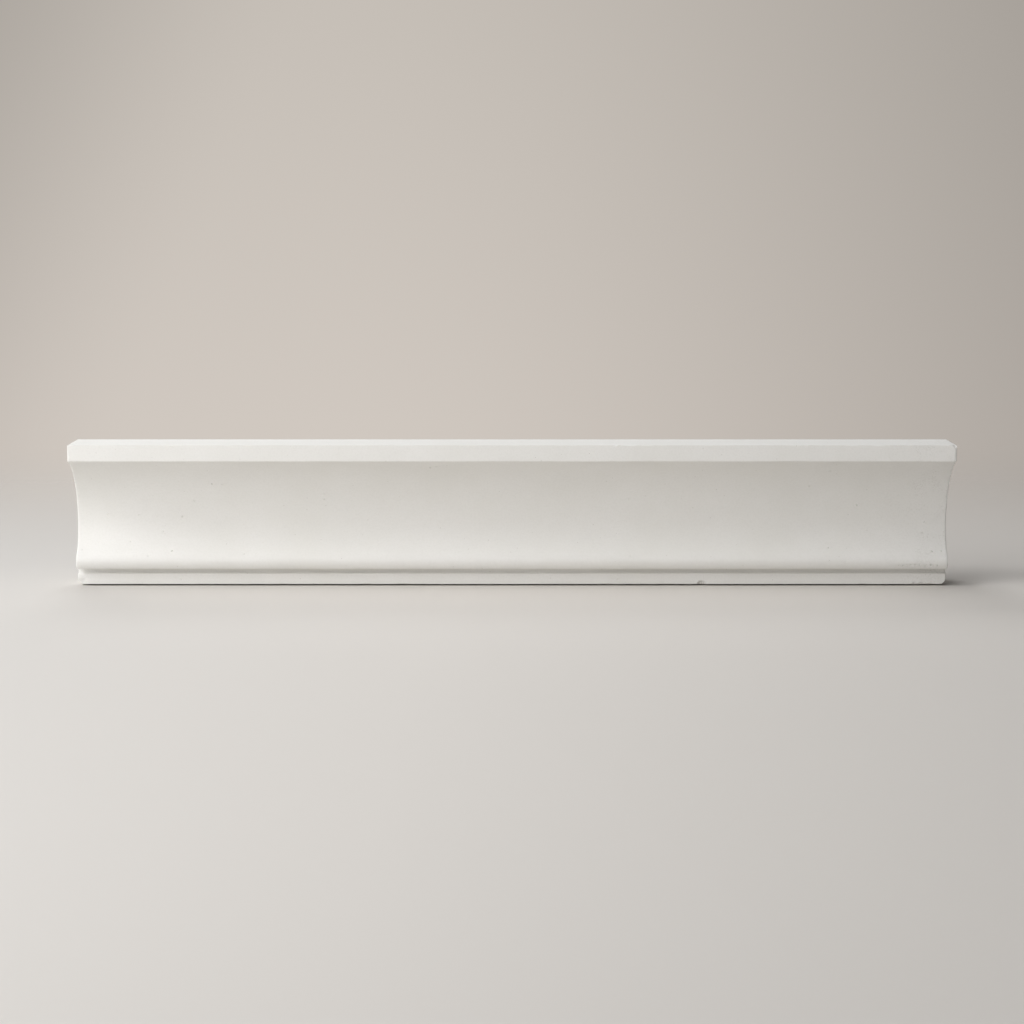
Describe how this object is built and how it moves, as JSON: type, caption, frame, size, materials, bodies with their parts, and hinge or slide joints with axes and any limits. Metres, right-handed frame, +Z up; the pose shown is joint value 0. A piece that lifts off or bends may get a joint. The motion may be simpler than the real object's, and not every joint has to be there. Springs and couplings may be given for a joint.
{
  "type": "crown moulding length",
  "caption": "Straight length of plain cove crown moulding, a solid plaster casting with a flat top band, deep hollow, rounded nose and base band.",
  "frame": {"origin": "middle of the bounding box at the bed, the flat underside that the length stands on", "axes": "+X along the length, -Y out of the cove towards the room, +Y towards the wall, +Z up towards the ceiling"},
  "size_m": [1, 0.105, 0.1683],
  "materials": {
    "plaster": "matte"
  },
  "bodies": {
    "root": {"crown_moulding": "plaster"}
  },
  "joints": []
}
